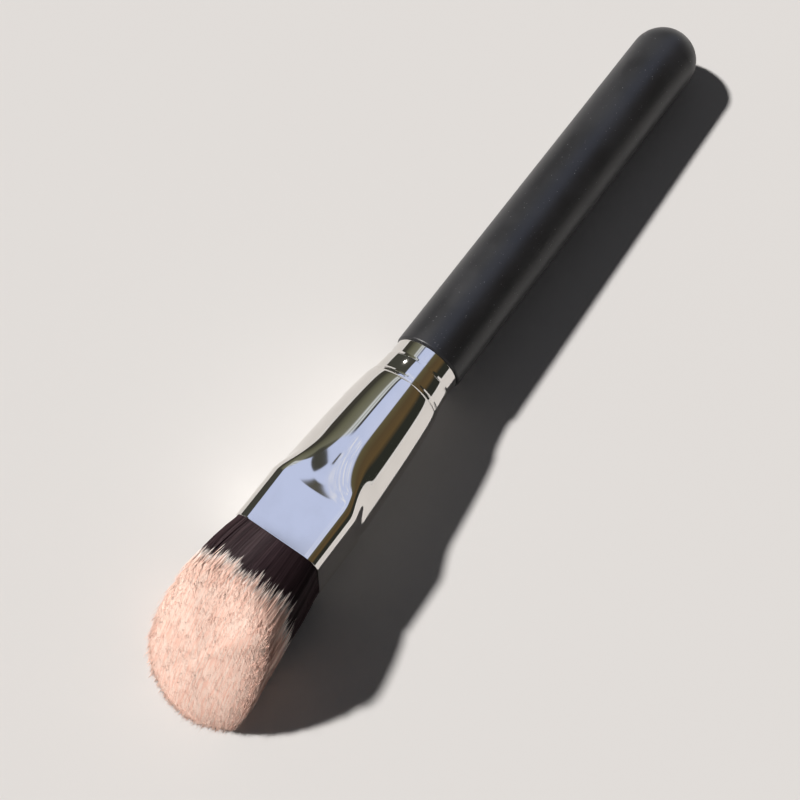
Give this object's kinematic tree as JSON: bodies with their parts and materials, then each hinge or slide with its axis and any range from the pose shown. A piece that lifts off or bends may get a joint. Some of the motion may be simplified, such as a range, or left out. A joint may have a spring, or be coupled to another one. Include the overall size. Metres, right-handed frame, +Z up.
{
  "type": "contour brush",
  "caption": "Make-up contour brush with a round dome-ended handle, a crimped round-to-flat ferrule and a slant-cut two-tone fibre tuft, lying as it rests.",
  "frame": {"origin": "on the surface that the brush lies on, under the middle of its bounding box", "axes": "+X along the brush from the handle's end to the tuft, +Z up, +Y to the side of the slightly longer fibres"},
  "size_m": [0.1786, 0.0248, 0.0225],
  "materials": {
    "handle_lacquer": "matte black soft-touch lacquer over turned wood",
    "ferrule_plate": "mirror-polished nickel plate",
    "glue": "set epoxy",
    "fibre": "fine synthetic fibre, dark brown at the roots and pale peach at the tips"
  },
  "bodies": {
    "root": {"handle": "handle_lacquer", "ferrule": "ferrule_plate", "glue_plug": "glue", "bristles": "fibre"}
  },
  "joints": []
}
